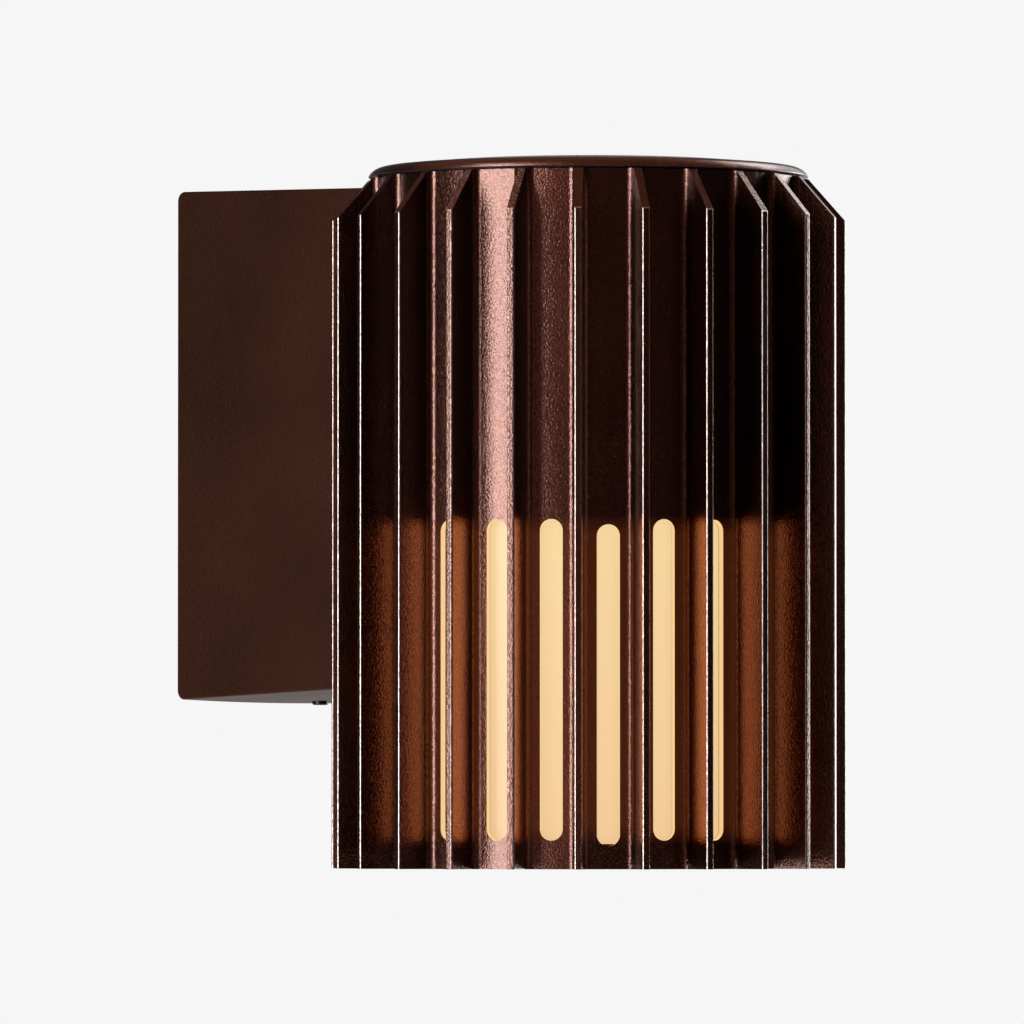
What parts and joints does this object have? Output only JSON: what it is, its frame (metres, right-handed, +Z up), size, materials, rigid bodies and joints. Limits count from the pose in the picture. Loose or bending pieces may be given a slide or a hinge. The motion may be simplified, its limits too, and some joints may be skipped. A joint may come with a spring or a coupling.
{
  "type": "outdoor wall sconce",
  "caption": "Finned round metal wall light on a flat-sided box, with a flat cap and upright glowing slots; its opal cup drops out below for changing the lamp.",
  "frame": {"origin": "middle of the wall box's back, on the wall's surface, at the centre of the bracket's fixing slots", "axes": "+Y into the wall, -Y out into the room or garden, +Z up, +X to the right seen from the front"},
  "size_m": [0.1244, 0.1737, 0.1703],
  "materials": {
    "bronze_extrusion": "aluminium extrusion under metallic dark bronze paint, fine sparkle, satin",
    "bronze_cap": "metallic dark bronze, satin",
    "bronze_cast": "dark bronze powder coat, fine texture, satin",
    "bronze_ring": "metallic dark bronze, satin",
    "opal_diffuser": "opal, lit from inside",
    "lamp_opal": "opal, lit",
    "lamp_plastic": "moulded, semi-gloss",
    "lamp_board": "white solder mask on aluminium",
    "lamp_cap_metal": "nickel-plated, bright",
    "zinc_steel": "zinc-plated, satin",
    "black_steel": "black oxide, slightly glossy",
    "black_rubber": "matt",
    "white_silicone": "matt",
    "white_nylon": "moulded, matt",
    "black_phenolic": "moulded, semi-matt",
    "brass": "bare, satin",
    "brown_insulation": "smooth",
    "blue_insulation": "smooth",
    "green_insulation": "smooth"
  },
  "bodies": {
    "fixture": {"wall_bracket": "zinc_steel", "wall_gasket": "black_rubber", "cable_grommet": "black_rubber", "terminal_block": "white_nylon", "terminal_screws": "zinc_steel", "terminal_fixing_screw": "zinc_steel", "earth_screw": "zinc_steel", "wall_box": "bronze_cast", "locking_screw": "black_steel", "saddle_gasket": "black_rubber", "head_screws": "zinc_steel", "lead_grommet": "black_rubber", "finned_tube": "bronze_extrusion", "top_cap": "bronze_cap", "cap_gasket": "black_rubber", "lamp_carrier": "zinc_steel", "carrier_pillars": "zinc_steel", "carrier_screws": "zinc_steel", "lampholder_bridge": "zinc_steel", "bridge_screws": "zinc_steel", "lampholder_nipple": "zinc_steel", "lampholder_nut": "zinc_steel", "lampholder_body": "black_phenolic", "lampholder_shell": "brass", "lampholder_contact": "brass", "diffuser_gasket": "white_silicone", "live_lead": "brown_insulation", "neutral_lead": "blue_insulation", "earth_lead": "green_insulation", "carrier_earth_lug": "brass", "carrier_earth_screw": "zinc_steel"},
    "diffuser": {"diffuser_cup": "opal_diffuser"},
    "retainer": {"retaining_ring": "bronze_ring"},
    "lamp": {"lamp_globe": "lamp_opal", "lamp_board": "lamp_board", "lamp_housing": "lamp_plastic", "lamp_cap": "lamp_cap_metal", "lamp_insulator": "black_phenolic", "lamp_contact": "lamp_cap_metal"}
  },
  "joints": [
    {"name": "diffuser_drop", "type": "slide", "parent": "fixture", "child": "diffuser", "axis": [0, 0, -1], "range_m": [0, 0.12]},
    {"name": "retainer_turn", "type": "hinge", "parent": "diffuser", "child": "retainer", "pos_m": [0, -0.1115, -0.10115], "axis": [0, 0, -1], "range_deg": [0, 720]},
    {"name": "lamp_turn", "type": "hinge", "parent": "fixture", "child": "lamp", "pos_m": [0, -0.1115, 0.00585], "axis": [0, 0, -1], "range_deg": [0, 1440]}
  ]
}
